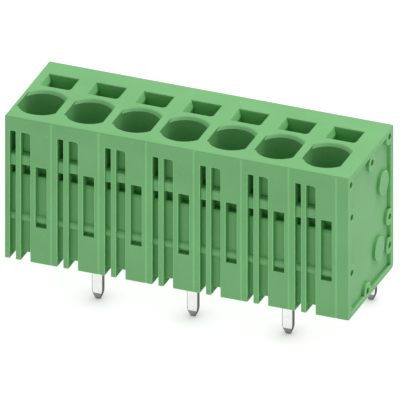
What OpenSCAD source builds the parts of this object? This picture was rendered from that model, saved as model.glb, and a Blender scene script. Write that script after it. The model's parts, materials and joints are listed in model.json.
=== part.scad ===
// Spring clamp terminal block for a printed circuit board, one row of poles with solder pins in zigzag.
// The row runs along X, the front face looks towards -Y and the board's surface is Z = 0.
// Inside a pole, x counts from its closed side, y from its front face and z from the board, in millimetres.

/* [Row] */
// Number of poles in the row
poles = 7; // [2:1:12]
// Distance from one pole to the next
pitch = 7.5; // [7.2:0.1:9]

/* [Housing] */
// Depth from the front face to the rear face
housing_d = 18.2; // [17.6:0.1:21]
// Height above the board
housing_h = 23.7; // [22.5:0.1:27]
// Closed side wall of a pole
side_wall = 0.8; // [0.7:0.05:1.2]
// Wall between the front face and the clamp chamber
front_wall = 1.9; // [1.7:0.05:2.4]
// Wall behind the clamp chamber
rear_wall = 1.1; // [0.9:0.05:1.6]
// Floor under the clamp chamber
floor_t = 1.9; // [1.7:0.05:2.6]
// Solid block over the clamp chamber
roof_h = 5.9; // [5.2:0.1:7]
// Gap between the foot of the partition behind the entry and the clamping leg
partition_gap = 0.38; // [0.2:0.02:1.5]
// Width of the bevel on the upright edges at the open side of a pole
seam_bevel = 0.35; // [0.1:0.05:0.5]
// Depth of that bevel
seam_depth = 0.06; // [0.04:0.02:0.3]
// Bevel along the top edges
top_bevel = 0.15; // [0.05:0.05:0.4]
// Bevel along the lower rear edge
foot_bevel = 0.5; // [0.2:0.05:0.8]

/* [Conductor entry] */
// Bore of the entry
entry_d = 7; // [6.6:0.1:7.6]
// Distance of the bore's axis from the front face
entry_y = 5.83; // [5.5:0.01:6.4]
// Wall between the entry and the closed side
entry_left_web = 0.55; // [0.4:0.05:0.9]
// Wall between the entry and the open side
entry_right_web = 0.75; // [0.5:0.05:1.1]
// Bevel round the mouth
entry_bevel = 0.45; // [0.2:0.05:0.6]
// Bore at the foot of the entry
entry_throat_d = 6.4; // [5:0.1:6.5]
// Height of the tapered foot of the entry
entry_taper_h = 2.2; // [1:0.1:3]
// Thickness of the web that guides the conductor behind the contact plate
guide_t = 0.5; // [0.4:0.05:0.7]
// How far the guide web stands behind the contact plate's rear face
guide_proud = 0.2; // [0:0.05:0.3]
// Gap between the guide web and the top of the contact plate
guide_gap = 0.2; // [0.1:0.05:0.4]

/* [Driver opening] */
// Width of the opening along the row
driver_w = 4.7; // [4:0.1:5]
// Length of the opening from front to rear
driver_l = 3.6; // [3:0.1:3.8]
// Distance of the opening from the closed side
driver_x = 1.35; // [1:0.05:1.6]
// Distance of the opening from the front face
driver_y = 10.85; // [10.5:0.05:11.2]
// Length of the channel where it meets the chamber
driver_throat_l = 2; // [1.6:0.1:2.6]
// Depth at which the channel starts to narrow
driver_straight_h = 3.2; // [2:0.1:4.5]
// Width of the sloped side of the mouth
lead_w = 0.4; // [0.1:0.05:0.8]
// Height of the sloped side of the mouth
lead_h = 1.1; // [0.5:0.1:2]
// Corner radius of the opening
driver_corner_r = 0.5; // [0.2:0.05:1]

/* [Front slots] */
// Width of the slot beside the closed side
slot_a_w = 0.92; // [0.6:0.02:1.1]
// Width of the rib between the two slots
slot_rib_w = 0.84; // [0.6:0.02:1.1]
// Width of the second slot
slot_b_w = 1.46; // [1.2:0.02:1.6]
// Width of the face between the second slot and the window
window_web = 0.83; // [0.6:0.01:0.95]
// Width of the window
window_w = 1.73; // [1.2:0.01:1.9]
// Height of the window's lower edge
window_low = 6; // [5:0.1:6.3]
// Depth of the slots and the window
slot_depth = 0.85; // [0.6:0.05:1.1]
// Distance from the top of the housing to the top of the slots
slot_top_drop = 2.35; // [1.8:0.05:3]
// Corner radius at the top of the second slot
slot_corner_r = 0.4; // [0.2:0.05:0.6]
// Depth of the pocket at the top of the first slot
pocket_a_depth = 2.3; // [1.2:0.05:2.35]
// Depth of the pocket at the top of the second slot
pocket_b_depth = 1.25; // [1:0.05:1.6]
// Distance from the chamber's roof to the top of the test openings
test_drop = 1.8; // [1.2:0.1:2.4]
// Height of the test openings
test_h = 2.1; // [1.2:0.1:2.6]
// Bevel on the lower lip of the test openings
test_lip = 0.3; // [0.1:0.05:0.5]
// Lowering of the test opening's top in the first slot
test_a_lower = 0.45; // [0:0.05:0.6]
// Lowering of the test opening's top in the second slot
test_b_lower = 0.15; // [0:0.05:0.6]
// How far the upper cross bar stands out of the slots' back
upper_bar_proud = 0.5; // [0.2:0.05:0.55]
// Height of the upper cross bar above the window's top
upper_bar_h = 1.6; // [1.2:0.1:2]
// How far the lower cross bar stands out of the slots' back
lower_bar_proud = 0.45; // [0.2:0.05:0.5]
// Radius of the lower cross bar's round face
lower_bar_r = 1; // [0.6:0.05:1.2]
// Height of the lower cross bar's middle
lower_bar_z = 7.05; // [6.9:0.05:8.5]
// Height of the notches under the slots
relief_h = 1.1; // [0.6:0.1:1.3]
// Depth of the notches under the slots
relief_d = 3.6; // [2.8:0.1:5]

/* [Current bar] */
// Thickness of the metal
bar_t = 0.8; // [0.6:0.05:1]
// Play between the bar and the housing
bar_play = 0.1; // [0.05:0.01:0.15]
// Inner radius of the upward bends
bar_bend_r = 0.5; // [0.3:0.05:0.8]
// Distance from the test openings down to the top of the contact plate
bar_top_drop = 1.1; // [0.6:0.1:1.5]
// Height of the upright behind the spring
upright_h = 7; // [5:0.1:9]

/* [Solder pins] */
// Length below the board's surface
pin_l = 5.25; // [3:0.05:6]
// Width along the row
pin_w = 1.8; // [1.2:0.1:2]
// Distance of the pin from the next pole
pin_margin = 0.27; // [0.2:0.01:0.5]
// Inner radius of the bend above the pin
pin_bend_r = 0.3; // [0.25:0.05:0.5]
// Play round the pin in the floor
pin_play = 0.2; // [0.1:0.05:0.3]
// Slit between the bent-up strip and the pin
pin_slit = 0.27; // [0.2:0.01:0.5]
// Height over which the tip narrows
tip_h = 1.8; // [1:0.1:2.5]
// Width at the end of the tip
tip_w = 0.7; // [0.3:0.05:0.9]
// Height of the bevels on the tip's flat sides
tip_bevel_h = 1; // [0.4:0.1:1.5]
// Thickness at the end of the tip
tip_t = 0.35; // [0.2:0.05:0.5]

/* [Clamp spring] */
// Thickness of the strip
spring_t = 0.45; // [0.3:0.05:0.6]
// Radius of the loop at the middle of the strip
loop_r = 1.4; // [1.2:0.05:1.6]
// Slope of the clamping leg below the horizontal
leg_angle = 38; // [34:1:42]
// Play between the spring and what it bears on
spring_play = 0.08; // [0.03:0.01:0.12]
// Room between the loop and the chamber's roof
loop_room = 0.37; // [0.2:0.01:0.6]
// Distance of the spring's edges from the edges of the bent-up strip
spring_inset = 0.1; // [0:0.05:0.4]
// Width of the clamping edge
edge_w = 3.4; // [2.6:0.1:4]
// Length over which the clamping leg narrows
edge_taper_l = 3; // [1:0.1:5]
// Distance of the retaining leg's end from the bar's floor
foot_gap = 1.2; // [0.8:0.1:3]

/* [Posts and pegs] */
// Radius of the spacer post
spacer_r = 1; // [0.6:0.05:1.4]
// Distance of the spacer post from the rear face
spacer_rear = 5.5; // [4.5:0.1:7]
// Height of the spacer post
spacer_z = 5.7; // [5:0.1:8]
// Gap between a post's end and the next pole
post_gap = 0.1; // [0.05:0.01:0.3]
// Diameter of a snap peg
peg_d = 1; // [0.8:0.05:1.1]
// Length of a snap peg
peg_l = 0.5; // [0.3:0.05:0.55]
// Play round a snap peg in its hole
peg_play = 0.05; // [0.03:0.01:0.1]
// Wall round a snap peg that stands in the chamber
peg_boss_wall = 0.45; // [0.3:0.05:0.5]
// Distance of the two lower front pegs from the front face
peg_front = 1.4; // [1.1:0.05:1.6]
// Distance of the rear pegs from the rear face
peg_rear = 1.5; // [1.3:0.05:1.8]
// Heights of the two lower front pegs
peg_front_z = [7.3, 16.55]; // [2:0.05:20]
// Heights of the two lower rear pegs
peg_rear_z = [4.3, 9.05]; // [4.2:0.05:16]
// Distance of the upper corner pegs from the front and the top
peg_front_corner = [1.05, 1.6]; // [0.9:0.05:2]
// Distance of the roof peg from the front and the top
peg_roof = [9.65, 2.15]; // [2:0.05:12]
// Distance of the upper rear peg from the top
peg_rear_drop = 1.3; // [1:0.05:2.5]
// Floor peg's distance from the front and its height
peg_floor = [7.8, 1.1]; // [0.9:0.05:12]

/* [End cover] */
// Thickness of the cover
cover_t = 1.8; // [1.4:0.1:2.6]
// Depth of the recess in the outer face
cover_recess = 0.5; // [0.2:0.05:0.8]
// Rim along the front of the recess
rim_front = 1.3; // [0.8:0.05:2]
// Rim along the rear of the recess
rim_rear = 1.1; // [0.8:0.05:2]
// Rim along the bottom of the recess
rim_bottom = 0.85; // [0.8:0.05:2]
// Rim along the top of the recess
rim_top = 0.9; // [0.8:0.05:2]
// Radius of the raised ring round a peg hole
cover_boss_r = 1.3; // [1:0.05:1.6]
// Radius of the raised pads over the posts
cover_pad_r = 1.85; // [1.2:0.05:2.2]

/* [Hidden] */
$fn = 64;
// Overlap that lets a cut or a joined shape pass a face cleanly
eps = 0.02;
housing_green = [0.44, 0.68, 0.45];
tin_silver = [0.86, 0.87, 0.87];
spring_steel = [0.66, 0.67, 0.68];

row_l = poles * pitch + cover_t;
chamber_top = housing_h - roof_h;
chamber_rear = housing_d - rear_wall;
entry_w = pitch - entry_left_web - entry_right_web;
entry_x = entry_left_web + entry_w / 2;

slot_a_x = side_wall;
slot_b_x = slot_a_x + slot_a_w + slot_rib_w;
window_x = slot_b_x + slot_b_w + window_web;
slot_top = housing_h - slot_top_drop;
test_top = chamber_top - test_drop;
test_a_top = test_top - test_a_lower;
test_b_top = test_top - test_b_lower;
test_low = test_top - test_h;
pocket_low = test_top + upper_bar_h;

bar_x0 = side_wall + bar_play;
bar_y0 = front_wall + bar_play;
bar_y1 = chamber_rear - bar_play;
bar_z0 = floor_t + bar_play;
bar_bend_outer = bar_bend_r + bar_t;
bar_top = test_low - bar_top_drop;
guide_rear = bar_y0 + bar_t + guide_proud;
guide_low = bar_top + guide_gap;
pin_x1 = pitch - pin_margin;
pin_x0 = pin_x1 - pin_w;
strip_x1 = pin_x0 - pin_slit;

spring_x0 = bar_x0 + spring_inset;
spring_x1 = strip_x1 - spring_inset;
loop_y = bar_y1 - bar_t - spring_play - spring_t / 2 - loop_r;
loop_z = chamber_top - loop_room - spring_t / 2 - loop_r;
post_r = loop_r - spring_t / 2 - spring_play;
spacer_y = housing_d - spacer_rear;
// The clamping leg leaves the loop here and ends against the contact plate
leg_y = loop_y - loop_r * sin(leg_angle);
leg_z = loop_z + loop_r * cos(leg_angle);
edge_y = bar_y0 + bar_t + spring_play + spring_t / 2 * sin(leg_angle);
leg_l = (leg_y - edge_y) / cos(leg_angle);
// Height of the clamping leg's upper face below the driver opening's front edge
leg_top = leg_z - (leg_y - driver_y) * tan(leg_angle) + spring_t / 2 / cos(leg_angle);
partition_low = leg_top + partition_gap;
foot_z = bar_z0 + bar_t + foot_gap;

peg_hole_r = peg_d / 2 + peg_play;
peg_boss_r = peg_d / 2 + peg_boss_wall;
peg_boss_x0 = strip_x1 + pin_slit;
rear_pegs = [for (z = peg_rear_z) [housing_d - peg_rear, z]];
front_pegs = [for (z = peg_front_z) [peg_front, z]];
pegs = concat(front_pegs, rear_pegs, [
  [peg_front_corner[0], housing_h - peg_front_corner[1]],
  [peg_roof[0], housing_h - peg_roof[1]],
  [housing_d - peg_rear, housing_h - peg_rear_drop],
  peg_floor
]);

// Moves a pole's own frame to its place in the row
module at_pole(p) {
  translate([(p - 1) * pitch - row_l / 2, -housing_d / 2, 0])
    children();
}

// Extrudes a side profile (y, z) along the row
module along_row(x0, x1) {
  translate([x0, 0, 0])
    rotate([90, 0, 90])
      linear_extrude(x1 - x0)
        children();
}

// Extrudes a front profile (x, z) from front to rear
module to_rear(y0, y1) {
  translate([0, y1, 0])
    rotate([90, 0, 0])
      linear_extrude(y1 - y0)
        children();
}

// Side outline shared by the poles and the cover
module side_outline() {
  polygon([
    [0, 0],
    [housing_d - foot_bevel, 0],
    [housing_d, foot_bevel],
    [housing_d, housing_h - top_bevel],
    [housing_d - top_bevel, housing_h],
    [top_bevel, housing_h],
    [0, housing_h - top_bevel]
  ]);
}

// Block of the given thickness with the side outline and bevelled upright edges at its open side
module slab(thickness) {
  intersection() {
    along_row(0, thickness)
      side_outline();
    linear_extrude(housing_h)
      polygon([
        [0, 0],
        [thickness - seam_bevel, 0],
        [thickness, seam_depth],
        [thickness, housing_d - seam_depth],
        [thickness - seam_bevel, housing_d],
        [0, housing_d]
      ]);
  }
}

// Cylinder along the row at a place (y, z)
module rod(at, r, x0, x1) {
  translate([x0, at[0], at[1]])
    rotate([0, 90, 0])
      cylinder(r = r, h = x1 - x0);
}

// Room for the bar and the spring, open towards the next pole, with two webs hanging from its roof
module clamp_chamber() {
  along_row(side_wall, pitch + eps)
    polygon([
      [front_wall, floor_t],
      [chamber_rear, floor_t],
      [chamber_rear, chamber_top],
      [driver_y, chamber_top],
      [driver_y, partition_low],
      [entry_y + entry_throat_d / 2, partition_low],
      [entry_y + entry_throat_d / 2, chamber_top],
      [guide_rear, chamber_top],
      [guide_rear, guide_low],
      [guide_rear - guide_t, guide_low],
      [guide_rear - guide_t, chamber_top],
      [front_wall, chamber_top]
    ]);
}

// Round funnel with two flats, open into the chamber
module conductor_entry() {
  entry_r = entry_d / 2;
  intersection() {
    translate([entry_x, entry_y, chamber_top])
      rotate_extrude()
        polygon([
          [0, -eps],
          [entry_throat_d / 2, -eps],
          [entry_r, entry_taper_h],
          [entry_r, roof_h - entry_bevel],
          [entry_r + entry_bevel + eps, roof_h + eps],
          [0, roof_h + eps]
        ]);
    translate([entry_left_web, 0, 0])
      cube([entry_w, housing_d, housing_h + 2 * eps]);
  }
}

// Shaft for a screwdriver blade, narrowing towards the spring
module driver_channel() {
  driver_rear = driver_y + driver_l;
  channel_x = driver_x + lead_w;
  driver_x1 = driver_x + driver_w;
  intersection() {
    along_row(channel_x, driver_x1)
      polygon([
        [driver_y, chamber_top - eps],
        [driver_y + driver_throat_l, chamber_top - eps],
        [driver_rear, housing_h - driver_straight_h],
        [driver_rear, housing_h + eps],
        [driver_y, housing_h + eps]
      ]);
    linear_extrude(housing_h + 2 * eps)
      union() {
        translate([0, driver_y])
          square([driver_x1 - driver_corner_r, driver_l]);
        translate([0, driver_y + driver_corner_r])
          square([driver_x1, driver_l - driver_corner_r]);
        translate([driver_x1 - driver_corner_r, driver_y + driver_corner_r])
          circle(r = driver_corner_r);
      }
  }
  to_rear(driver_y, driver_rear)
    polygon([
      [driver_x, housing_h],
      [driver_x, housing_h + eps],
      [channel_x + eps, housing_h + eps],
      [channel_x + eps, housing_h - lead_h],
      [channel_x, housing_h - lead_h]
    ]);
}

// Opening from a slot into the chamber, with a bevelled lower lip
module test_opening(x, w, top) {
  along_row(x, x + w)
    polygon([
      [slot_depth - eps, test_low - test_lip - eps],
      [slot_depth + test_lip, test_low],
      [front_wall + eps, test_low],
      [front_wall + eps, top],
      [slot_depth - eps, top]
    ]);
}

// Two full-height slots and a window in the front face
module front_slots() {
  slot_b_x1 = slot_b_x + slot_b_w;
  translate([slot_a_x, -eps, -eps])
    cube([slot_a_w, slot_depth + eps, slot_top + eps]);
  translate([slot_a_x, 0, pocket_low])
    cube([slot_a_w, pocket_a_depth, slot_top - pocket_low]);
  translate([slot_b_x, -eps, -eps])
    cube([slot_b_w, slot_depth + eps, pocket_low + 2 * eps]);
  to_rear(-eps, pocket_b_depth)
    union() {
      translate([slot_b_x, pocket_low])
        square([slot_b_w - slot_corner_r, slot_top - pocket_low]);
      translate([slot_b_x, pocket_low])
        square([slot_b_w, slot_top - slot_corner_r - pocket_low]);
      translate([slot_b_x1 - slot_corner_r, slot_top - slot_corner_r])
        circle(r = slot_corner_r);
    }
  translate([window_x, -eps, window_low])
    cube([window_w, slot_depth + eps, test_top - window_low]);
  test_opening(slot_a_x, slot_a_w, test_a_top);
  test_opening(slot_b_x, slot_b_w, test_b_top);
  test_opening(window_x, window_w, test_top);
  for (slot = [[slot_a_x, slot_a_w], [slot_b_x, slot_b_w]])
    translate([slot[0], -eps, -eps])
      cube([slot[1], relief_d, relief_h + eps]);
}

// Upper cross bar of one slot, from the test opening to the pocket
module upper_bar(x, w, low) {
  round_z = pocket_low - upper_bar_proud - 2 * eps;
  along_row(x - eps, x + w + eps)
    union() {
      translate([slot_depth - upper_bar_proud, low])
        square([upper_bar_proud + eps, round_z - low]);
      translate([slot_depth, round_z])
        circle(r = upper_bar_proud);
    }
}

// Rounded bars that cross the slots in front of their back
module cross_bars() {
  upper_bar(slot_a_x, slot_a_w, test_a_top);
  upper_bar(slot_b_x, slot_b_w, test_b_top);
  along_row(slot_a_x - eps, window_x + window_w + eps)
    intersection() {
      translate([slot_depth - lower_bar_proud + lower_bar_r, lower_bar_z])
        circle(r = lower_bar_r);
      translate([0, lower_bar_z - lower_bar_r])
        square([slot_depth + eps, 2 * lower_bar_r]);
    }
}

// Holes in the floor for a pin at the front or at the rear
module pin_notches() {
  for (y = [bar_y0, bar_y1 - bar_t])
    translate([pin_x0 - pin_play, y - pin_play, -eps])
      cube([pitch, bar_t + 2 * pin_play, floor_t + 2 * eps]);
}

// One moulded pole, open at one side and closed there by its neighbour
module pole_housing() {
  color(housing_green)
    difference() {
      union() {
        difference() {
          slab(pitch);
          clamp_chamber();
          conductor_entry();
          driver_channel();
          front_slots();
          pin_notches();
        }
        cross_bars();
        rod([loop_y, loop_z], post_r, side_wall - eps, pitch - post_gap);
        rod([spacer_y, spacer_z], spacer_r, side_wall - eps, pitch - post_gap);
        for (at = rear_pegs)
          rod(at, peg_boss_r, peg_boss_x0, pitch);
        for (at = pegs)
          rod(at, peg_d / 2, pitch - eps, pitch + peg_l);
      }
      for (at = pegs)
        rod(at, peg_hole_r, -eps, peg_l + post_gap);
    }
}

// Cover that closes the open side of the last pole
module end_cover() {
  color(housing_green)
    translate([poles * pitch - row_l / 2, -housing_d / 2, 0])
      difference() {
        slab(cover_t);
        difference() {
          translate([cover_t - cover_recess, rim_front, rim_bottom])
            cube([
              cover_recess + eps,
              housing_d - rim_front - rim_rear,
              housing_h - rim_bottom - rim_top
            ]);
          for (at = pegs)
            rod(at, cover_boss_r, 0, cover_t + 2 * eps);
          for (at = [[loop_y, loop_z], [spacer_y, spacer_z]])
            rod(at, cover_pad_r, 0, cover_t + 2 * eps);
        }
        for (at = pegs)
          rod(at, peg_hole_r, -eps, cover_t + eps);
      }
}

// Quarter of a bent sheet, as a ring sector towards the given side (-1 or 1) in y and z
module bend(at, inner, side_y, side_z) {
  outer = inner + bar_t;
  translate(at)
    intersection() {
      difference() {
        circle(r = outer);
        circle(r = inner);
      }
      translate([side_y < 0 ? -outer : 0, side_z < 0 ? -outer : 0])
        square(outer);
    }
}

// Side profile of the strip: contact plate, floor and upright
module strip_profile() {
  front_bend_y = bar_y0 + bar_bend_outer;
  rear_bend_y = bar_y1 - bar_bend_outer;
  bend_z = bar_z0 + bar_bend_outer;
  union() {
    translate([bar_y0, bend_z])
      square([bar_t, bar_top - bend_z]);
    bend([front_bend_y, bend_z], bar_bend_r, -1, -1);
    translate([front_bend_y, bar_z0])
      square([rear_bend_y - front_bend_y, bar_t]);
    bend([rear_bend_y, bend_z], bar_bend_r, 1, -1);
    translate([bar_y1 - bar_t, bend_z])
      square([bar_t, bar_z0 + upright_h - bend_z]);
  }
}

// Side profile of the floor's edge with the pin bent down at the front (-1) or the rear (1)
module pin_profile(side) {
  pin_y = side < 0 ? bar_y0 : bar_y1 - bar_t;
  bend_y = side < 0 ? bar_y0 + bar_t + pin_bend_r : bar_y1 - bar_t - pin_bend_r;
  run_y = side < 0 ? bend_y : bar_y0 + bar_bend_outer;
  run_y1 = side < 0 ? bar_y1 - bar_bend_outer : bend_y;
  bend_z = bar_z0 - pin_bend_r;
  tip_step = (bar_t - tip_t) / 2;
  union() {
    translate([run_y, bar_z0])
      square([run_y1 - run_y, bar_t]);
    bend([bend_y, bend_z], pin_bend_r, side, 1);
    polygon([
      [pin_y, bend_z],
      [pin_y, tip_bevel_h - pin_l],
      [pin_y + tip_step, -pin_l],
      [pin_y + bar_t - tip_step, -pin_l],
      [pin_y + bar_t, tip_bevel_h - pin_l],
      [pin_y + bar_t, bend_z]
    ]);
  }
}

// Front outline of the pin, with sides that curve in towards the tip
module pin_outline() {
  narrowing = (pin_w - tip_w) / 2;
  curve_r = (narrowing * narrowing + tip_h * tip_h) / (2 * narrowing);
  tip_z = tip_h - pin_l;
  translate([pin_x0, tip_z])
    square([pin_w, bar_z0 + bar_t - tip_z]);
  intersection() {
    translate([pin_x0 + curve_r, tip_z])
      circle(r = curve_r);
    translate([pin_x1 - curve_r, tip_z])
      circle(r = curve_r);
    translate([pin_x0, -pin_l])
      square([pin_w, tip_h]);
  }
}

// Bent current bar with its solder pin at the front of even poles and at the rear of odd ones
module current_bar(p) {
  side = p % 2 == 0 ? -1 : 1;
  color(tin_silver)
    union() {
      along_row(bar_x0, strip_x1)
        strip_profile();
      intersection() {
        along_row(strip_x1 - eps, pin_x1)
          pin_profile(side);
        to_rear(0, housing_d)
          pin_outline();
      }
      translate([strip_x1 - eps, bar_y0 + bar_bend_outer, bar_z0])
        cube([pin_x1 - strip_x1 + eps, bar_y1 - bar_y0 - 2 * bar_bend_outer, bar_t]);
    }
}

// Side profile of the loop round its post and of the retaining leg
module loop_profile() {
  outer = loop_r + spring_t / 2;
  inner = loop_r - spring_t / 2;
  union() {
    translate([loop_y, loop_z])
      intersection() {
        difference() {
          circle(r = outer);
          circle(r = inner);
        }
        polygon([
          [0, 0],
          [2 * outer, 0],
          [2 * outer, 2 * outer],
          [-2 * outer * sin(leg_angle), 2 * outer * cos(leg_angle)]
        ]);
      }
    translate([loop_y + inner, foot_z])
      square([spring_t, loop_z - foot_z]);
  }
}

// Leg spring: loop, retaining leg against the upright and clamping leg against the contact plate
module clamp_spring() {
  spring_w = spring_x1 - spring_x0;
  edge_x = (spring_w - edge_w) / 2;
  color(spring_steel)
    union() {
      along_row(spring_x0, spring_x1)
        loop_profile();
      translate([spring_x0, leg_y, leg_z])
        rotate([leg_angle, 0, 0])
          translate([0, 0, -spring_t / 2])
            linear_extrude(spring_t)
              polygon([
                [0, 0],
                [spring_w, 0],
                [spring_w, edge_taper_l - leg_l],
                [spring_w - edge_x, -leg_l],
                [edge_x, -leg_l],
                [0, edge_taper_l - leg_l]
              ]);
    }
}

for (p = [1:poles]) {
  at_pole(p) pole_housing();
  at_pole(p) current_bar(p);
  at_pole(p) clamp_spring();
}
end_cover();
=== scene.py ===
"""Spring clamp terminal block for circuit boards: finishes, moulded edges, springs and studio on the CAD frame."""

import itertools
import json
import math

import bmesh
import bpy
import numpy as np
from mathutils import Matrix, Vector


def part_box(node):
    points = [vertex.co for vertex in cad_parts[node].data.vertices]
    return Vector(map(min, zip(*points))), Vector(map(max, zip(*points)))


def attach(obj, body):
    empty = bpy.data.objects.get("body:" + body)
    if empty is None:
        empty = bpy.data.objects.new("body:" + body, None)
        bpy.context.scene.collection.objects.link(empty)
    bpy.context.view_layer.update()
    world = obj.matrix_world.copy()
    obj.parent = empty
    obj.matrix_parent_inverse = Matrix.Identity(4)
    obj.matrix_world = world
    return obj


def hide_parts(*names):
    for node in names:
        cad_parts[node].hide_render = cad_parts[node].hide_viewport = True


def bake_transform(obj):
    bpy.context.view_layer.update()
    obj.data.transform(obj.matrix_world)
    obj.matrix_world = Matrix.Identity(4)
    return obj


bl_info = {
    "name": "Board Terminal Block",
    "version": (1, 0, 0),
    "blender": (4, 5, 0),
    "location": "View3D > Sidebar > Terminal Block",
    "description": "Dresses the solids of a spring clamp terminal block and sets up its studio",
    "category": "Object",
}

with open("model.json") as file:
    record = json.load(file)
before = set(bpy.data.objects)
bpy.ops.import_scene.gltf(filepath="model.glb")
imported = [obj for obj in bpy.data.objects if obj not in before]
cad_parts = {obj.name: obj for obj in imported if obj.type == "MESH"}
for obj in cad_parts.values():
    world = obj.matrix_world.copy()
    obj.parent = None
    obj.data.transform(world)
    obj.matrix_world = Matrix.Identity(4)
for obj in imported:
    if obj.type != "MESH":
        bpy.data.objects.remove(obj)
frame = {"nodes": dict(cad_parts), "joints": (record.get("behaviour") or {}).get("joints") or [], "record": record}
NODE_BOXES = [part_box(node) for node in frame["nodes"]]
CAD_BOX = [np.min([low for low, _ in NODE_BOXES], axis=0), np.max([high for _, high in NODE_BOXES], axis=0)]
JOINTS = sorted(frame["joints"], key=lambda joint: joint["name"])
POLES = len(JOINTS)

# Distances in metres within which points are one point, or lie on a cut, in a joined plane or in an end face
SAME_POINT = 2e-6
ON_CUT = 1e-7
ON_JOINT = 5e-6
ON_END = 2e-5

# Angles between two faces: up to FLAT they are one face, and from CURVED to CREASE they are facets of a curve.
# From CORNER on their edge is rounded, and from UPRIGHT on a wall under the top is taken as upright
FLAT = math.radians(0.3)
CURVED = math.radians(0.5)
CREASE = math.radians(32)
CORNER = math.radians(50)
UPRIGHT = math.radians(60)
# The same limit as CREASE, for the spring strip
STRIP_CREASE = math.radians(40)
# Angle between two edges under which only one of them is rounded
NARROW = math.radians(30)

# Share of a face's normal along an axis from which on the face looks straight that way
STRAIGHT = 0.99
# Share of the skin's depth that a housing's front wall takes up
FRONT_WALL = 0.7
# Radius of the spring strip's rounded edges as a share of its thickness
STRIP_ROUNDING = 0.38

# Layers of edge weights for the two roundings of a moulding
EDGE_WEIGHT = "bevel_weight_edge"
RIM_WEIGHT = "rim_weight"

# Heights between which the painted shade of the notches next to the board ends, and its power in the housings
NOTCH_TOP = (0.0009, 0.0012)
NOTCH_POWER = 16


class BlockSizes(bpy.types.PropertyGroup):
    """Sizes of what the scene shapes itself."""

    mould_edge: bpy.props.FloatProperty(
        name="Moulded edge",
        description="Radius of the edges of the green mouldings",
        default=0.0001,
        precision=5,
        subtype="DISTANCE",
        unit="LENGTH",
    )
    rim_edge: bpy.props.FloatProperty(
        name="Rims",
        description="Radius of the rims of the openings in the top",
        default=0.0002,
        precision=5,
        subtype="DISTANCE",
        unit="LENGTH",
    )
    roof_edge: bpy.props.FloatProperty(
        name="Cover's top edge",
        description="Radius of the end cover's outer edge in the top",
        default=0.00006,
        precision=5,
        subtype="DISTANCE",
        unit="LENGTH",
    )
    mould_skin: bpy.props.FloatProperty(
        name="Moulded skin",
        description="Depth from a housing's outside to which its edges are rounded",
        default=0.003,
        precision=4,
        subtype="DISTANCE",
        unit="LENGTH",
    )
    metal_edge: bpy.props.FloatProperty(
        name="Metal edge",
        description="Radius of the stamped edges of the current bars",
        default=0.00014,
        precision=5,
        subtype="DISTANCE",
        unit="LENGTH",
    )
    strip_thickness: bpy.props.FloatProperty(
        name="Spring strip",
        description="Thickness of the spring strip",
        default=0.00045,
        precision=5,
        subtype="DISTANCE",
        unit="LENGTH",
    )
    loop_radius: bpy.props.FloatProperty(
        name="Spring loop",
        description="Radius of the spring's loop at the middle of the strip",
        default=0.0014,
        precision=5,
        subtype="DISTANCE",
        unit="LENGTH",
    )
    leg_slope: bpy.props.FloatProperty(
        name="Leg slope",
        description="Slope of the clamping leg below the horizontal",
        default=math.radians(38),
        subtype="ANGLE",
        unit="ROTATION",
    )
    clamp_edge: bpy.props.FloatProperty(
        name="Clamping edge",
        description="Width of the spring's clamping edge",
        default=0.0034,
        precision=5,
        subtype="DISTANCE",
        unit="LENGTH",
    )
    clamp_taper: bpy.props.FloatProperty(
        name="Leg taper",
        description="Length over which the clamping leg narrows to its edge",
        default=0.003,
        precision=5,
        subtype="DISTANCE",
        unit="LENGTH",
    )


class BlockFinishes(bpy.types.PropertyGroup):
    """Colours of the finishes."""

    green: bpy.props.FloatVectorProperty(
        name="Housing",
        description="Colour of the moulded housings and the end cover",
        default=(0.2, 0.5, 0.2),
        min=0,
        max=1,
        subtype="COLOR",
    )
    # Painted shade: the end cover's outward faces are drawn this much darker than the plain green
    outer_shade_gain: bpy.props.FloatProperty(
        name="Outer tone",
        description="Tone of the end cover's outer faces",
        default=0.92,
        min=0.5,
        max=1.2,
    )
    # Painted highlight and painted light: the seam bevels, the end cover's rounded edges and some flat walls in
    # the top's rear half are drawn this much lighter
    seam_highlight_gain: bpy.props.FloatProperty(
        name="Seam tone",
        description="How much lighter the bevels along the seams are",
        default=1.25,
        min=1,
        max=1.8,
    )
    # Painted highlight: the housings' rounded edges, inner lips and the walls behind the front openings are drawn
    # this much lighter
    edge_highlight_gain: bpy.props.FloatProperty(
        name="Edge tone",
        description="How much lighter the polished edges and lips of the mouldings are",
        default=1.5,
        min=1,
        max=1.8,
    )
    tin: bpy.props.FloatVectorProperty(
        name="Tin plate",
        description="Colour of the plated current bars and pins",
        default=(0.89, 0.9, 0.885),
        min=0,
        max=1,
        subtype="COLOR",
    )
    # The sides and downward faces of the bars get this dark colour: partly duller cut metal, partly painted shade
    cut_and_shaded_edge: bpy.props.FloatVectorProperty(
        name="Cut edge",
        description="Colour of the duller, sheared edges of the current bars",
        default=(0.11, 0.11, 0.108),
        min=0,
        max=1,
        subtype="COLOR",
    )
    steel: bpy.props.FloatVectorProperty(
        name="Spring steel",
        description="Colour of the rolled spring strip",
        default=(0.4, 0.405, 0.41),
        min=0,
        max=1,
        subtype="COLOR",
    )


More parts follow.
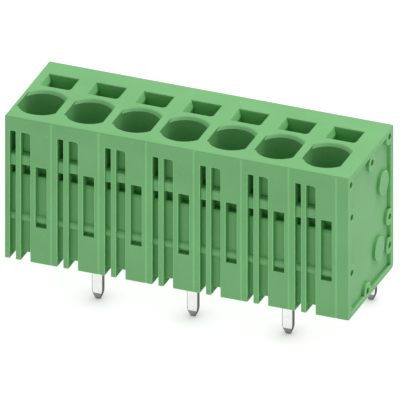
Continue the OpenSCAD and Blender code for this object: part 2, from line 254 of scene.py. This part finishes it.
class BlockStudio(bpy.types.PropertyGroup):
    """Camera, light and floor."""

    azimuth: bpy.props.FloatProperty(
        name="Azimuth",
        description="How far the camera stands round to the end cover",
        default=math.radians(21.3),
        subtype="ANGLE",
        unit="ROTATION",
    )
    elevation: bpy.props.FloatProperty(
        name="Elevation",
        description="Camera's angle above the horizon",
        default=math.radians(28.3),
        subtype="ANGLE",
        unit="ROTATION",
    )
    distance: bpy.props.FloatProperty(
        name="Distance",
        description="Distance of the camera from the point in the middle of the picture",
        default=0.5,
        subtype="DISTANCE",
        unit="LENGTH",
    )
    view_width: bpy.props.FloatProperty(
        name="View width",
        description="Width of the parallel view",
        default=0.0588,
        precision=4,
        subtype="DISTANCE",
        unit="LENGTH",
    )
    view_centre: bpy.props.FloatVectorProperty(
        name="View centre",
        description="Point in the middle of the picture",
        default=(0.00013, 0.0, 0.01036),
        precision=5,
        subtype="XYZ",
        unit="LENGTH",
    )
    key_power: bpy.props.FloatProperty(
        name="Key light",
        description="Power of the soft light from above and behind",
        default=2.05,
        unit="POWER",
    )
    key_size: bpy.props.FloatProperty(
        name="Key size",
        description="Side of the key light's square",
        default=0.32,
        subtype="DISTANCE",
        unit="LENGTH",
    )
    key_place: bpy.props.FloatVectorProperty(
        name="Key place",
        description="Place of the key light",
        default=(0.115, 0.2, 0.46),
        subtype="XYZ",
        unit="LENGTH",
    )
    sky: bpy.props.FloatProperty(
        name="Sky",
        description="Strength of the even light from all round",
        default=0.42,
        subtype="FACTOR",
    )
    floor: bpy.props.FloatVectorProperty(
        name="Floor",
        description="Colour of the floor",
        default=(0.18, 0.18, 0.18),
        min=0,
        max=1,
        subtype="COLOR",
    )
    floor_size: bpy.props.FloatProperty(
        name="Floor size",
        description="Side of the floor's square",
        default=3.0,
        subtype="DISTANCE",
        unit="LENGTH",
    )
    floor_glow: bpy.props.FloatProperty(
        name="Floor glow",
        description="Strength of the light table under the object",
        default=0.94,
        subtype="FACTOR",
    )


def tinted(colour, factor):
    """The colour times a factor, as a socket's four numbers."""
    return (*(min(1.0, c * factor) for c in colour), 1.0)


def new_finish(name):
    """A new node material, with its tree, its shader and a Texture Coordinate node."""
    material = bpy.data.materials.new(name)
    material.use_nodes = True
    tree = material.node_tree
    shader = tree.nodes["Principled BSDF"]
    return material, tree, shader, tree.nodes.new("ShaderNodeTexCoord")


def feed(tree, value, socket):
    """Links an input to another node's output, or sets its constant."""
    if isinstance(value, bpy.types.NodeSocket):
        tree.links.new(value, socket)
    else:
        socket.default_value = value


def maths(tree, operation, *values):
    """Result of a Math node for values that are numbers or sockets."""
    node = tree.nodes.new("ShaderNodeMath")
    node.operation = operation
    for value, socket in zip(values, node.inputs):
        feed(tree, value, socket)
    return node.outputs["Value"]


def split_axes(tree, vector):
    """The sockets X, Y and Z of a vector."""
    node = tree.nodes.new("ShaderNodeSeparateXYZ")
    tree.links.new(vector, node.inputs["Vector"])
    return node.outputs


def noise(tree, vector, scale, detail=2.0, stretch=None):
    """Noise on the given coordinates, with features about 1 / scale across, drawn out by a Mapping if stretch
    is set."""
    if stretch is not None:
        mapping = tree.nodes.new("ShaderNodeMapping")
        mapping.inputs["Scale"].default_value = stretch
        tree.links.new(vector, mapping.inputs["Vector"])
        vector = mapping.outputs["Vector"]
    node = tree.nodes.new("ShaderNodeTexNoise")
    node.inputs["Scale"].default_value = scale
    node.inputs["Detail"].default_value = detail
    tree.links.new(vector, node.inputs["Vector"])
    return node.outputs["Fac"]


def spread(tree, value, low, high, start=0.3, stop=0.7):
    """Maps value from start..stop to low..high, held at both ends."""
    node = tree.nodes.new("ShaderNodeMapRange")
    for socket, number in (("From Min", start), ("From Max", stop), ("To Min", low), ("To Max", high)):
        node.inputs[socket].default_value = number
    tree.links.new(value, node.inputs["Value"])
    return node.outputs["Result"]


def blend_colours(tree, factor, first, second):
    """Colour between first and second, each a colour or a socket, by a factor from 0 to 1."""
    node = tree.nodes.new("ShaderNodeMix")
    node.data_type = "RGBA"
    sockets = {socket.identifier: socket for socket in (*node.inputs, *node.outputs)}
    tree.links.new(factor, sockets["Factor_Float"])
    feed(tree, first, sockets["A_Color"])
    feed(tree, second, sockets["B_Color"])
    return sockets["Result_Color"]


def clouded(tree, vector, colour, scale, detail, low, high):
    """The colour with clouds of noise in it, in which it is between low and high times as light."""
    clouds = spread(tree, noise(tree, vector, scale, detail), 0, 1)
    return blend_colours(tree, clouds, tinted(colour, low), tinted(colour, high))


def openness(tree, reach, shut, free, only_local=True):
    """How open a place is to its surroundings within reach, from 0 where the open share is shut, deep in a
    slot, to 1 where it is free."""
    node = tree.nodes.new("ShaderNodeAmbientOcclusion")
    node.only_local = only_local
    node.samples = 8
    node.inputs["Distance"].default_value = reach
    return spread(tree, node.outputs["AO"], 0, 1, shut, free)


def relief(tree, shader, height, strength, distance):
    """Bump from a height value into the shader's normal."""
    node = tree.nodes.new("ShaderNodeBump")
    node.inputs["Strength"].default_value = strength
    node.inputs["Distance"].default_value = distance
    tree.links.new(height, node.inputs["Height"])
    tree.links.new(node.outputs["Normal"], shader.inputs["Normal"])


def moulded(name, colour, notch):
    """Moulded polyamide: satin skin with fine spark texture, faint flow clouds and specks of regrind in the
    colour. Deep places get painted shade: an ambient occlusion measure blends the colour there towards a
    darker, fuller green. Next to the board that measure has the power notch, so that a power over 1 paints
    the notches there darker still."""
    material, tree, shader, coords = new_finish(name)
    place = coords.outputs["Object"]
    body = clouded(tree, place, colour, scale=130, detail=3, low=0.955, high=1.045)
    specks = spread(tree, noise(tree, place, scale=2600), 0, 1, start=0.62, stop=0.74)
    skin = blend_colours(tree, specks, body, tinted(colour, 1.1))
    # Painted shade: places that the ambient occlusion measure finds deep are blended towards this darker, fuller
    # green
    deep = tinted([c * c for c in colour], 1.15)
    power = spread(tree, split_axes(tree, place)["Z"], notch, 1, *NOTCH_TOP)
    shaded = maths(tree, "POWER", openness(tree, reach=0.0055, shut=-0.5, free=1), power)
    feed(tree, blend_colours(tree, shaded, deep, skin), shader.inputs["Base Color"])
    grain = noise(tree, place, scale=5200, detail=3)
    feed(tree, spread(tree, grain, 0.48, 0.62), shader.inputs["Roughness"])
    relief(tree, shader, grain, strength=0.22, distance=0.00003)
    feed(tree, 0.22, shader.inputs["Specular IOR Level"])
    return material


def plated_tin(name, colour, cut):
    """Tin on stamped copper alloy: semi-bright faces with rolling streaks. What looks along the row is rougher,
    as shear-cut edges are, and is drawn much darker: partly duller cut metal, partly painted shade. What looks
    down, such as the pins' tip chamfers, is drawn much darker and rougher as painted shade."""
    material, tree, shader, coords = new_finish(name)
    place = coords.outputs["Object"]
    streaks = noise(tree, place, scale=900, detail=3, stretch=(1.0, 1.0, 0.08))
    face = clouded(tree, place, colour, scale=700, detail=3, low=0.95, high=1.04)
    normal = split_axes(tree, coords.outputs["Normal"])
    sideways = maths(tree, "ABSOLUTE", normal["X"])
    # Painted shade: faces that look down, such as the pins' tip chamfers, count towards the dark cut colour
    downward_shade = maths(tree, "MULTIPLY", normal["Z"], -2.0)
    sheared_and_shaded = spread(tree, maths(tree, "MAXIMUM", sideways, downward_shade), 0, 1, start=0.15, stop=0.55)
    feed(tree, blend_colours(tree, sheared_and_shaded, face, (*cut, 1.0)), shader.inputs["Base Color"])
    rougher = spread(tree, sheared_and_shaded, 0, 0.22, start=0, stop=1)
    feed(tree, maths(tree, "ADD", spread(tree, streaks, 0.24, 0.36), rougher), shader.inputs["Roughness"])
    relief(tree, shader, streaks, strength=0.12, distance=0.00002)
    feed(tree, 1.0, shader.inputs["Metallic"])
    return material


def rolled_steel(name, colour):
    """Rolled stainless strip: fine lines along the strip, from the piece's own UV map in metres."""
    material, tree, shader, coords = new_finish(name)
    along = coords.outputs["UV"]
    lines = noise(tree, along, scale=9000, stretch=(0.02, 1.0, 1.0))
    haze = clouded(tree, along, colour, scale=500, detail=3, low=0.93, high=1.06)
    feed(tree, haze, shader.inputs["Base Color"])
    feed(tree, spread(tree, lines, 0.22, 0.36), shader.inputs["Roughness"])
    relief(tree, shader, lines, strength=0.2, distance=0.00001)
    feed(tree, 1.0, shader.inputs["Metallic"])
    return material


def light_table(colour, glow):
    """Pale matt floor that also glows, like the sheet of a light table, with painted contact shadows: the
    glow is lowered where something stands close over it."""
    material, tree, shader, coords = new_finish("light_table")
    sheet = clouded(tree, coords.outputs["Object"], colour, scale=30, detail=2, low=0.99, high=1.01)
    feed(tree, sheet, shader.inputs["Base Color"])
    feed(tree, 0.9, shader.inputs["Roughness"])
    feed(tree, 0.0, shader.inputs["Specular IOR Level"])
    feed(tree, (1, 1, 1, 1), shader.inputs["Emission Color"])
    # Painted shadow: the ambient occlusion measure lowers the glow round the pin tips
    shade = openness(tree, reach=0.004, shut=0, free=1, only_local=False)
    feed(tree, spread(tree, shade, 0.1 * glow, glow, start=0.2, stop=1), shader.inputs["Emission Strength"])
    return material


def finish_named(name, make, *values):
    """The finish of that name, made once."""
    return bpy.data.materials.get(name) or make(name, *values)


def plastics(finishes, kind, notch, tones):
    """The green plastic of a kind of moulding, in the given tones: the plain green, and lighter and darker
    copies of it that paint highlights and shade.
    """
    # The tones besides the plain green are painted shade (darker) and painted highlights (lighter)
    gains = {
        "green": 1.0,
        "outer": finishes.outer_shade_gain,
        "seam": finishes.seam_highlight_gain,
        "edge": finishes.edge_highlight_gain,
    }
    return [
        finish_named(f"{kind}_{tone}", moulded, [c * gains[tone] for c in finishes.green], notch)
        for tone in tones
    ]


def place_piece(name, mesh, finishes, body=None):
    """Links a mesh as a piece at the origin, with its finishes, and lets it ride on a body if one is
    given."""
    piece = bpy.data.objects.new(name, mesh)
    bpy.context.scene.collection.objects.link(piece)
    for finish in finishes:
        mesh.materials.append(finish)
    if body is not None:
        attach(piece, body)
    return piece


def cut_across(work, axis, place, end_axis=None, end=0.0):
    """Splits faces along a plane across an axis, and marks the lines so that they stay. With an end axis,
    only the faces at that end of the piece are split."""
    across = Vector(np.eye(3)[axis])

    def chosen(verts):
        return end_axis is None or all(abs(v.co[end_axis] - end) < ON_END for v in verts)

    parts = [v for v in work.verts if chosen([v])]
    parts += [part for part in (*work.edges, *work.faces) if chosen(part.verts)]
    cut = bmesh.ops.bisect_plane(work, geom=parts, dist=ON_CUT, plane_co=across * place, plane_no=across)
    for part in cut["geom_cut"]:
        if isinstance(part, bmesh.types.BMEdge):
            part.seam = True


def plain_faces(mesh, cuts, high):
    """A mesh opened for editing, with its doubles merged and its flat triangles joined. Cuts (axis, place,
    end axis or None) turn faces with holes into plain outlines, so that roundings end cleanly."""
    work = bmesh.new()
    work.from_mesh(mesh)
    bmesh.ops.remove_doubles(work, verts=work.verts, dist=SAME_POINT)
    for axis, place, end_axis in cuts:
        cut_across(work, axis, place, end_axis, 0.0 if end_axis is None else high[end_axis])
    bmesh.ops.dissolve_limit(
        work, angle_limit=FLAT, verts=work.verts, edges=work.edges, delimit={"NORMAL", "SEAM"}
    )
    work.normal_update()
    return work


def mark_edges(work, low, high, flush, radius, skin, rim):
    """Marks the outer corners that get rounded, and the edges within curves as smooth. Rims of openings in
    the top, and the top's outer edge on the right, have a weight of their own if rim is set, apart from the
    upright flats of the openings in the front half. Inner corners, the edges of bevels, edges between flush
    points and edges deeper in the piece than its skin stay sharp."""
    weight = work.edges.layers.float.new(EDGE_WEIGHT)
    rim_weight = work.edges.layers.float.new(RIM_WEIGHT)
    for edge in work.edges:
        angle = edge.calc_face_angle_signed(0)
        middle = (edge.verts[0].co + edge.verts[1].co) / 2
        depth = min(*(middle - low).yz, *(high - middle).yz)
        inside = min(*(middle - low).xy, high.y - middle.y)
        in_top = min(v.co.z for v in edge.verts) > high.z - ON_END
        if flush.issuperset(edge.verts):
            edge[weight] = 0.0
        elif rim > 0 and in_top and inside > 2 * max(rim, radius):
            edge[rim_weight] = float(angle > CREASE and (angle < UPRIGHT or middle.y > -ON_END))
        else:
            edge[weight] = float(angle > CORNER and depth < skin)
        edge.smooth = abs(angle) < CREASE
    ease_corners(work, weight)


def ease_corners(work, weight):
    """Where two rounded edges meet at a narrow angle, the longer gets no rounding, so that the other's runs
    out."""
    for vert in work.verts:
        rounded = [edge for edge in vert.link_edges if edge[weight] > 0]
        for first, second in itertools.combinations(rounded, 2):
            ways = [edge.other_vert(vert).co - vert.co for edge in (first, second)]
            if ways[0].angle(ways[1]) < NARROW:
                max(first, second, key=lambda edge: edge.calc_length())[weight] = 0.0


def cover_tone(face, *_):
    """Which finish a face of the end cover gets: the second, a darker painted-shade tone, where it looks
    outward, the third, a lighter painted-light tone, on flat walls in the rear half that look to the front,
    and else the first."""
    if face.normal.x > STRAIGHT:
        return 1
    rear_wall = face.normal.y < -STRAIGHT and face.calc_center_median().y > 0 and not face.smooth
    return 2 if rear_wall else 0


def pole_tone(face, low, high, skin, flush):
    """Which finish a face of a pole housing gets. The third, the lightest tone, is a painted highlight on flat
    inner lips that look up and to the front, and painted light on the walls behind the openings in the front.
    The second, a lighter tone, is a painted highlight on bevels along a joined plane, and painted light on the
    flat rear wall and the lead-in of the openings in the top's rear half. All else has the first, the plain
    green."""
    centre = face.calc_center_median()
    x, y, z = face.normal
    looks_front = y < -STRAIGHT
    near_top = centre.z > high.z - skin
    if looks_front and low.y + FRONT_WALL * skin < centre.y < 0:
        return 2
    if face.smooth:
        return 0
    inner_lip = y < -0.5 and z > 0.5
    if inner_lip and not near_top:
        return 2
    lead_in = x > 0.3 and 0.1 < z < 0.9
    if centre.y > 0 and near_top and (looks_front or lead_in):
        return 1
    seam_bevel = 0.05 < x < 0.95 and abs(y) > 0.3 and not flush.isdisjoint(face.verts)
    return 1 if seam_bevel else 0


def add_rounding(piece, label, layer, width, finish):
    """Rounds the edges that have a weight in the layer, in one of the piece's finishes."""
    bevel = piece.modifiers.new(label, "BEVEL")
    bevel.width = width
    bevel.segments = 2
    bevel.limit_method = "WEIGHT"
    bevel.edge_weight = layer
    bevel.use_clamp_overlap = False
    bevel.loop_slide = False
    bevel.material = finish


def edge_copy(node, name, finishes, radius, joined=(), cuts=(), skin=math.inf, rim=0.0, tone=None):
    """A solid's copy with plain faces and rounded outer corners, apart from edges in a joined plane x, where
    the next moulding sits flush. The rounded edges have the last of the finishes, and rims in the top the
    first. Each face has the finish that tone picks, or the first. Only the facets of curves are smooth."""
    mesh = frame["nodes"][node].data.copy()
    mesh.name = name
    mesh.materials.clear()
    normals = mesh.attributes.get("custom_normal")
    if normals is not None:
        mesh.attributes.remove(normals)
    low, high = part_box(node)
    work = plain_faces(mesh, cuts, high)
    flush = {v for v in work.verts if any(abs(v.co.x - plane) < ON_JOINT for plane in joined)}
    mark_edges(work, low, high, flush, radius, skin, rim)
    for face in work.faces:
        curved = [e for e in face.edges if e.smooth and e.calc_face_angle(0) > CURVED]
        face.smooth = len(curved) > 1
        face.material_index = 0 if tone is None else tone(face, low, high, skin, flush)
    work.to_mesh(mesh)
    work.free()
    piece = place_piece(name, mesh, finishes, "block")
    # With the mouldings' finishes the last is a lighter tone, so their rounded edges carry a painted highlight
    add_rounding(piece, "rounded_edges", EDGE_WEIGHT, radius, len(finishes) - 1)
    if rim > 0:
        add_rounding(piece, "rounded_rims", RIM_WEIGHT, rim, 0)
    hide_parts(node)


def strip_path(foot_z, loop_y, loop_z, radius, slope, tip_y, counts=(12, 30, 48)):
    """Middle line of the spring in (y, z): up the retaining leg, round the loop's top by 90 degrees plus the
    slope, and straight down the clamping leg, with that many points each. Returns the points, their unit
    normals and their run along the strip."""
    rise, turn, run = (np.linspace(0, 1, count)[:, None] for count in counts)
    retaining = np.array([loop_y + radius, foot_z]) + rise * [0, loop_z - foot_z]
    turn = turn * (math.pi / 2 + slope)
    arc = np.array([loop_y, loop_z]) + radius * np.hstack([np.cos(turn), np.sin(turn)])
    length = (arc[-1, 0] - tip_y) / math.cos(slope)
    clamping = arc[-1] + run * length * np.array([-math.cos(slope), -math.sin(slope)])
    points = np.vstack([retaining[:-1], arc, clamping[1:]])
    heading = np.gradient(points, axis=0)
    heading /= np.linalg.norm(heading, axis=1)[:, None]
    normals = np.column_stack([heading[:, 1], -heading[:, 0]])
    steps = np.linalg.norm(np.diff(points, axis=0), axis=1)
    return points, normals, np.concatenate([[0], np.cumsum(steps)])


def strip_section(thickness, corners=5):
    """Closed outline of a strip with rounded edges: signs that pick a side of the strip, and offsets across
    (x) and through it (n) from there, as a quarter circle of the given number of points at each corner."""
    radius = STRIP_ROUNDING * thickness
    turn = np.linspace(0, math.pi / 2, corners)
    signs = np.repeat([[1, 1], [-1, 1], [-1, -1], [1, -1]], corners, axis=0)
    quarter = (turn + np.arange(4)[:, None] * math.pi / 2).ravel()
    across = radius * np.cos(quarter) - signs[:, 0] * radius
    through = radius * np.sin(quarter) + signs[:, 1] * (thickness / 2 - radius)
    return signs[:, 0], across, through


def strip_mesh(name, centre_x, half_width, points, normals, run, thickness):
    """Strip surface: for each point along the path and each point of the section, x is centre plus side times
    half width plus the section's offset, and (y, z) is the path's point plus the section's offset along its
    normal."""
    side, across, through = strip_section(thickness)
    rows, cols = len(points), len(side)
    x = centre_x + side[None, :] * half_width[:, None] + across[None, :]
    y = points[:, 0, None] + normals[:, 0, None] * through[None, :]
    z = points[:, 1, None] + normals[:, 1, None] * through[None, :]
    corner = np.arange(rows - 1)[:, None] * cols + np.arange(cols)[None, :]
    after = np.arange(rows - 1)[:, None] * cols + (np.arange(cols) + 1)[None, :] % cols
    quads = np.stack([corner, after, after + cols, corner + cols], axis=-1).reshape(-1, 4)
    ends = [np.arange(cols)[::-1].tolist(), (np.arange(cols) + (rows - 1) * cols).tolist()]
    mesh = bpy.data.meshes.new(name)
    mesh.from_pydata(np.stack([x, y, z], axis=-1).reshape(-1, 3), [], quads.tolist() + ends)
    work = bmesh.new()
    work.from_mesh(mesh)
    bmesh.ops.recalc_face_normals(work, faces=work.faces)
    work.to_mesh(mesh)
    work.free()
    corners = np.zeros(len(mesh.loops), np.int32)
    mesh.loops.foreach_get("vertex_index", corners)
    flat = np.column_stack([np.repeat(run, cols), (x - centre_x).ravel()])
    mesh.uv_layers.new(name="along_strip").data.foreach_set("uv", flat[corners].ravel())
    mesh.polygons.foreach_set("use_smooth", np.ones(len(mesh.polygons), bool))
    mesh.set_sharp_from_angle(angle=STRIP_CREASE)
    return mesh


def floor_grid(size, height, count=24):
    """Floor as a height field z = height over a square grid of the given size and count of points."""
    line = np.linspace(-size / 2, size / 2, count)
    x, y = np.meshgrid(line, line, indexing="ij")
    corner = (np.arange(count - 1)[:, None] * count + np.arange(count - 1)[None, :]).ravel()
    quads = np.column_stack([corner, corner + count, corner + count + 1, corner + 1])
    mesh = bpy.data.meshes.new("floor")
    points = np.stack([x, y, np.full_like(x, height)], axis=-1).reshape(-1, 3)
    mesh.from_pydata(points, [], quads.tolist())
    return mesh


class TERMINAL_OT_housings(bpy.types.Operator):
    """Gives the pole housings their rounded moulded edges and their plastic"""

    bl_idname = "terminal_block.housings"
    bl_label = "Pole Housings"

    def execute(self, context):
        sizes = context.scene.block_sizes
        tones = plastics(context.scene.block_finishes, "pole", NOTCH_POWER, ("green", "seam", "edge"))
        left = CAD_BOX[0][0]
        pitch = (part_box("end_cover")[0].x - left) / POLES
        half_height = CAD_BOX[1][2] / 2
        for pole, entry in enumerate(frame["record"]["physics"]["openings"], 1):
            bore_x = np.mean(entry["box_m"], axis=0)[0]
            edge_copy(
                f"pole_housing_{pole}",
                f"moulded_pole_{pole}",
                tones,
                sizes.mould_edge,
                joined=[left + side * pitch for side in (pole - 1, pole) if side > 0],
                cuts=[(0, bore_x, 2), (2, half_height, None)],
                skin=sizes.mould_skin,
                rim=sizes.rim_edge,
                tone=pole_tone,
            )
        return {"FINISHED"}


class TERMINAL_OT_cover(bpy.types.Operator):
    """Gives the end cover its rounded moulded edges and its plastic"""

    bl_idname = "terminal_block.cover"
    bl_label = "End Cover"

    def execute(self, context):
        sizes = context.scene.block_sizes
        edge_copy(
            "end_cover",
            "moulded_cover",
            plastics(context.scene.block_finishes, "cover", 1, ("green", "outer", "seam")),
            sizes.mould_edge,
            joined=[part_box("end_cover")[0].x],
            rim=sizes.roof_edge,
            tone=cover_tone,
        )
        return {"FINISHED"}


class TERMINAL_OT_bars(bpy.types.Operator):
    """Gives the current bars and their solder pins stamped edges and tin plate"""

    bl_idname = "terminal_block.bars"
    bl_label = "Current Bars"

    def execute(self, context):
        radius = context.scene.block_sizes.metal_edge
        finishes = context.scene.block_finishes
        plate = finish_named("plated_tin", plated_tin, finishes.tin, finishes.cut_and_shaded_edge)
        for pole in range(1, POLES + 1):
            edge_copy(f"current_bar_{pole}", f"plated_bar_{pole}", [plate], radius)
        return {"FINISHED"}


class TERMINAL_OT_springs(bpy.types.Operator):
    """Shapes the clamp springs as folded strips that bend in their loops"""

    bl_idname = "terminal_block.springs"
    bl_label = "Clamp Springs"

    def execute(self, context):
        sizes = context.scene.block_sizes
        steel = finish_named("rolled_steel", rolled_steel, context.scene.block_finishes.steel)
        thickness, radius, slope = sizes.strip_thickness, sizes.loop_radius, sizes.leg_slope
        for pole, joint in enumerate(JOINTS, 1):
            low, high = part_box(f"clamp_spring_{pole}")
            loop_x, loop_y, loop_z = joint["pos_m"]
            tip_y = low.y + thickness / 2 * math.sin(slope)
            points, normals, run = strip_path(low.z, loop_y, loop_z, radius, slope, tip_y)
            half = (high.x - low.x) / 2
            narrow = np.clip((run - (run[-1] - sizes.clamp_taper)) / sizes.clamp_taper, 0, 1)
            half_width = half - narrow * (half - sizes.clamp_edge / 2)
            name = f"spring_strip_{pole}"
            mesh = strip_mesh(name, (low.x + high.x) / 2, half_width, points, normals, run, thickness)
            piece = place_piece(name, mesh, [steel])
            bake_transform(piece)
            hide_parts(f"clamp_spring_{pole}")
        return {"FINISHED"}


class TERMINAL_OT_stage(bpy.types.Operator):
    """Sets up the pale floor, the soft light and the parallel camera"""

    bl_idname = "terminal_block.stage"
    bl_label = "Studio"

    def execute(self, context):
        scene = context.scene
        studio = scene.block_studio
        floor = bpy.data.objects.new("floor", floor_grid(studio.floor_size, CAD_BOX[0][2]))
        scene.collection.objects.link(floor)
        floor.data.materials.append(light_table(studio.floor, studio.floor_glow))

        world = bpy.data.worlds.new("studio")
        world.use_nodes = True
        sky = world.node_tree.nodes["Background"]
        sky.inputs["Color"].default_value = (1, 1, 1, 1)
        sky.inputs["Strength"].default_value = studio.sky
        scene.world = world

        key = bpy.data.lights.new("key_light", "AREA")
        key.energy = studio.key_power
        key.size = studio.key_size
        self.aim(scene, key, studio.key_place)

        camera = bpy.data.cameras.new("camera")
        camera.type = "ORTHO"
        camera.ortho_scale = studio.view_width
        camera.clip_start = 0.01
        camera.clip_end = 10
        level = math.cos(studio.elevation)
        away = np.array(
            [
                math.sin(studio.azimuth) * level,
                -math.cos(studio.azimuth) * level,
                math.sin(studio.elevation),
            ]
        )
        centre = np.array(studio.view_centre)
        scene.camera = self.aim(scene, camera, centre + studio.distance * away, centre)
        scene.view_settings.view_transform = "Standard"
        return {"FINISHED"}

    @staticmethod
    def aim(scene, data, place, target=(0.0, 0.0, 0.01)):
        """Adds a light or camera at a place, turned so that it looks at the target."""
        item = bpy.data.objects.new(data.name, data)
        scene.collection.objects.link(item)
        item.location = place
        toward = Vector(target) - Vector(place)
        item.rotation_euler = toward.to_track_quat("-Z", "Y").to_euler()
        return item


class TERMINAL_PT_panel(bpy.types.Panel):
    """Lists the block's settings and its pieces"""

    bl_label = "Terminal Block"
    bl_idname = "TERMINAL_PT_panel"
    bl_space_type = "VIEW_3D"
    bl_region_type = "UI"
    bl_category = "Terminal Block"

    def draw(self, context):
        scene = context.scene
        for group in (scene.block_sizes, scene.block_finishes, scene.block_studio):
            box = self.layout.box()
            for name in group.__annotations__:
                box.prop(group, name)
        for operator in OPERATORS:
            self.layout.operator(operator.bl_idname)


GROUPS = {"block_sizes": BlockSizes, "block_finishes": BlockFinishes, "block_studio": BlockStudio}
OPERATORS = (
    TERMINAL_OT_housings,
    TERMINAL_OT_cover,
    TERMINAL_OT_bars,
    TERMINAL_OT_springs,
    TERMINAL_OT_stage,
)


def register():
    for cls in (*GROUPS.values(), *OPERATORS, TERMINAL_PT_panel):
        bpy.utils.register_class(cls)
    for name, group in GROUPS.items():
        setattr(bpy.types.Scene, name, bpy.props.PointerProperty(type=group))


def unregister():
    for name in GROUPS:
        delattr(bpy.types.Scene, name)
    for cls in (TERMINAL_PT_panel, *reversed(OPERATORS), *reversed(GROUPS.values())):
        bpy.utils.unregister_class(cls)


def main():
    """Builds every piece and the studio."""
    register()
    bpy.ops.terminal_block.housings()
    bpy.ops.terminal_block.cover()
    bpy.ops.terminal_block.bars()
    bpy.ops.terminal_block.springs()
    bpy.ops.terminal_block.stage()


if __name__ == "__main__":
    main()
